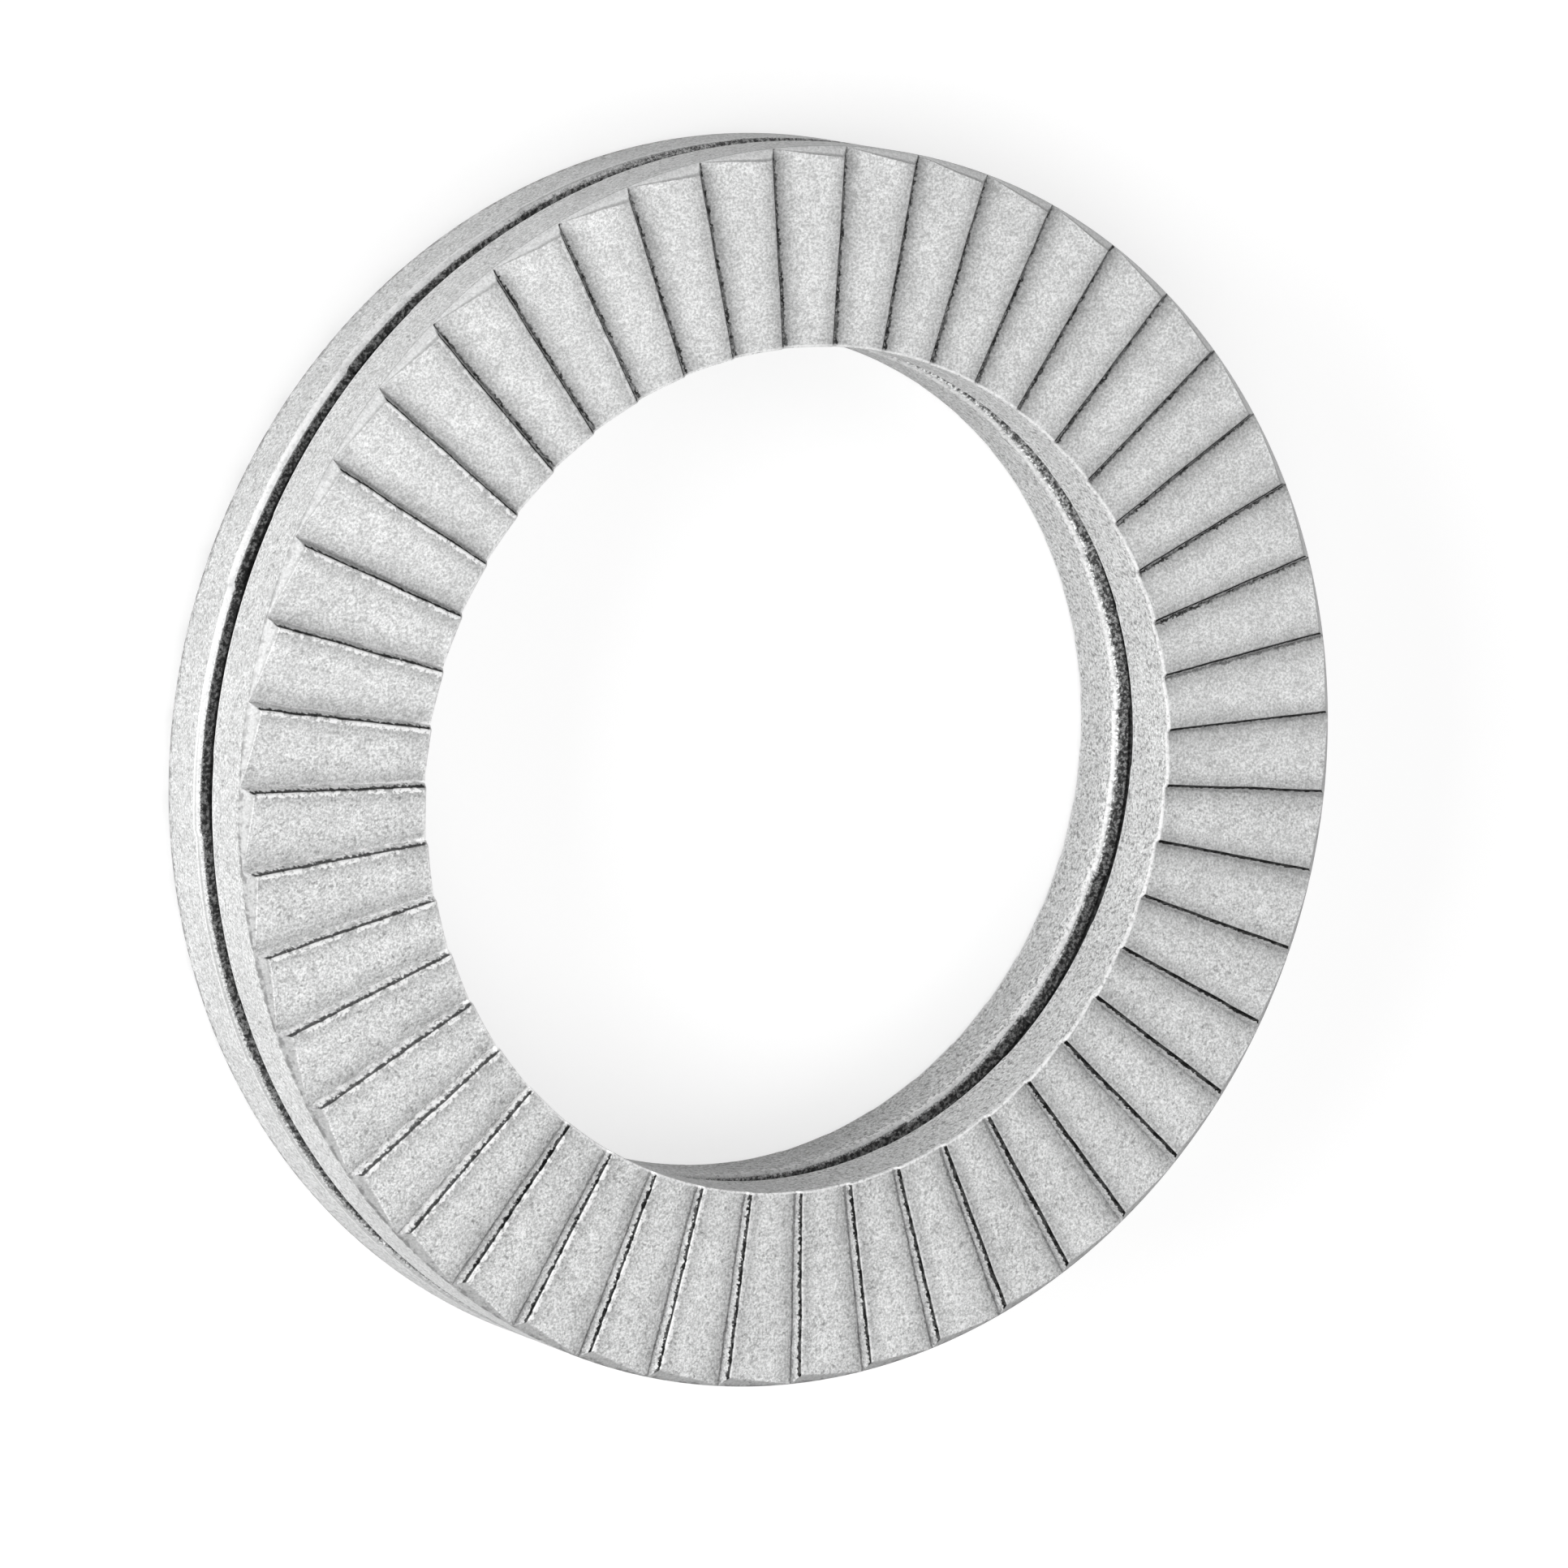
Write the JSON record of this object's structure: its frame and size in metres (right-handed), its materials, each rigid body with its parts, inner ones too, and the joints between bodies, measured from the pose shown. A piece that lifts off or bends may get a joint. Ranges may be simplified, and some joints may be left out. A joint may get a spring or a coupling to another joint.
{
  "type": "wedge lock washer pair",
  "caption": "Two flat ring washers laid cam face to cam face, with radial saw-teeth on both outer faces, for locking a bolt or nut.",
  "frame": {"origin": "on the axis of the bore, on the plane through the lower washer's tooth crests, where the pair lies", "axes": "+Z along the bore axis, from the lower washer's teeth to the upper washer's teeth; +X through a ramp's start on the lower washer"},
  "size_m": [0.042, 0.042, 0.006],
  "materials": {
    "zinc_flake_steel": "matte silver-grey flake coating on steel"
  },
  "bodies": {
    "root": {"lower_washer": "zinc_flake_steel", "upper_washer": "zinc_flake_steel"}
  },
  "joints": []
}
